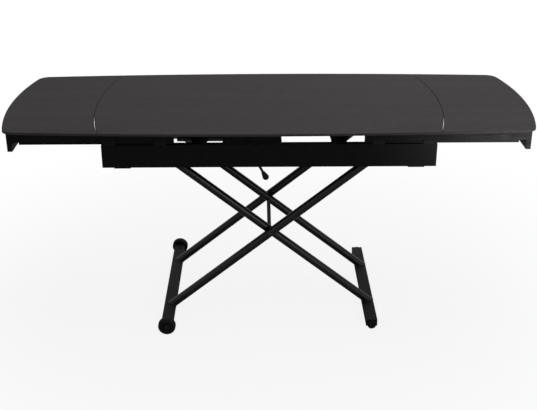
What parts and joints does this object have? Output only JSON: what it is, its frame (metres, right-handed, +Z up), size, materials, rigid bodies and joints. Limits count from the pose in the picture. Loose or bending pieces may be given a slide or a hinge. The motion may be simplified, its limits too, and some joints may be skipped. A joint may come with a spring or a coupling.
{
  "type": "lift-top extending coffee table",
  "caption": "Scissor-lift table with a barrel-shaped stone-look centre top, pull-out end leaves, black tube legs on a wheeled bar and a fixed foot bar, and a release lever.",
  "frame": {"origin": "on the floor under the middle of the table top", "axes": "+X along the table towards the end with the foot bar, -Y towards the side with the release lever, +Z up"},
  "size_m": [1.8194, 0.69, 0.76],
  "materials": {
    "stone_top": "matte charcoal, fine mottle",
    "black_paint": "satin black powder coat",
    "black_board": "black lacquered board",
    "plain_steel": "blackened steel",
    "black_nylon": "matte black",
    "black_rubber": "matte black"
  },
  "bodies": {
    "chassis": {"centre_top": "stone_top", "runner_frame_left": "black_paint", "runner_frame_right": "black_paint", "lift_pins_left": "plain_steel", "lift_pins_right": "plain_steel", "leaf_guides_left": "black_nylon", "leaf_guides_right": "black_nylon", "front_rail": "black_paint", "rear_rail": "black_paint", "end_rail_left": "black_paint", "end_rail_right": "black_paint", "cross_member_left": "black_paint", "cross_member_right": "black_paint", "anchor_member": "black_paint", "support_beam_left": "black_paint", "support_beam_right": "black_paint", "support_plate": "black_paint", "bumper_pads": "black_rubber", "hinge_block_front": "black_nylon", "hinge_block_rear": "black_nylon", "gas_cylinder": "black_paint", "spring_bracket": "black_paint", "lever_bracket": "black_paint", "lever_pin": "plain_steel"},
    "leaf_left": {"leaf_top_left": "stone_top", "end_panel_left": "black_board", "leaf_skirt_front_left": "black_board", "leaf_skirt_rear_left": "black_board", "leaf_crossbars_left": "black_board"},
    "leaf_right": {"leaf_top_right": "stone_top", "end_panel_right": "black_board", "leaf_skirt_front_right": "black_board", "leaf_skirt_rear_right": "black_board", "leaf_crossbars_right": "black_board"},
    "outer_frame": {"outer_leg_front": "black_paint", "outer_leg_rear": "black_paint", "wheel_bar": "black_paint", "wheel_bar_plugs": "black_nylon", "wheel_axles": "plain_steel", "outer_shaft": "plain_steel", "pivot_bolt_front": "plain_steel", "pivot_bolt_rear": "plain_steel", "cross_tie": "black_paint", "pivot_washers": "black_nylon"},
    "inner_frame": {"inner_leg_front": "black_paint", "inner_leg_rear": "black_paint", "foot_bar": "black_paint", "foot_bar_plugs": "black_nylon", "levelling_disc_front": "black_nylon", "levelling_disc_rear": "black_nylon", "inner_shaft": "plain_steel"},
    "gas_rod": {"gas_rod": "plain_steel"},
    "roller_front": {"roller_front": "black_nylon"},
    "roller_rear": {"roller_rear": "black_nylon"},
    "wheel_front": {"wheel_front": "black_rubber"},
    "wheel_rear": {"wheel_rear": "black_rubber"},
    "lever": {"lever_rod": "black_paint", "lever_knob": "black_nylon"}
  },
  "joints": [
    {"name": "lift", "type": "hinge", "parent": "chassis", "child": "outer_frame", "pos_m": [0.37498, 0, 0.6247], "axis": [0, 1, 0], "range_deg": [0, 21]},
    {"name": "leg_crossing", "type": "hinge", "parent": "outer_frame", "child": "inner_frame", "pos_m": [0, 0, 0.32429], "axis": [0, 1, 0], "range_deg": [-42, 0]},
    {"name": "gas_rod_eye", "type": "hinge", "parent": "inner_frame", "child": "gas_rod", "pos_m": [-0.37498, 0, 0.6247], "axis": [0, 1, 0], "range_deg": [0, 21]},
    {"name": "roller_front_spin", "type": "hinge", "parent": "inner_frame", "child": "roller_front", "pos_m": [-0.37498, -0.2407, 0.6247], "axis": [0, 1, 0], "continuous": true},
    {"name": "roller_rear_spin", "type": "hinge", "parent": "inner_frame", "child": "roller_rear", "pos_m": [-0.37498, 0.2407, 0.6247], "axis": [0, 1, 0], "continuous": true},
    {"name": "wheel_front_spin", "type": "hinge", "parent": "outer_frame", "child": "wheel_front", "pos_m": [-0.36608, -0.3175, 0.031], "axis": [0, 1, 0], "continuous": true},
    {"name": "wheel_rear_spin", "type": "hinge", "parent": "outer_frame", "child": "wheel_rear", "pos_m": [-0.36608, 0.3175, 0.031], "axis": [0, 1, 0], "continuous": true},
    {"name": "release_lever", "type": "hinge", "parent": "chassis", "child": "lever", "pos_m": [-0.046, -0.216, 0.6434], "axis": [0, 1, 0], "range_deg": [-25, 0], "stiffness_Nm_per_rad": 1.5},
    {"name": "leaf_left_drop", "type": "slide", "parent": "chassis", "child": "leaf_left", "axis": [0, 0, 1], "range_m": [-0.012, 0]},
    {"name": "leaf_right_drop", "type": "slide", "parent": "chassis", "child": "leaf_right", "axis": [0, 0, 1], "range_m": [-0.012, 0]}
  ],
  "couplings": [
    {"joint": "leg_crossing", "follows": "lift", "ratio": -2},
    {"joint": "gas_rod_eye", "follows": "lift", "ratio": 1}
  ]
}
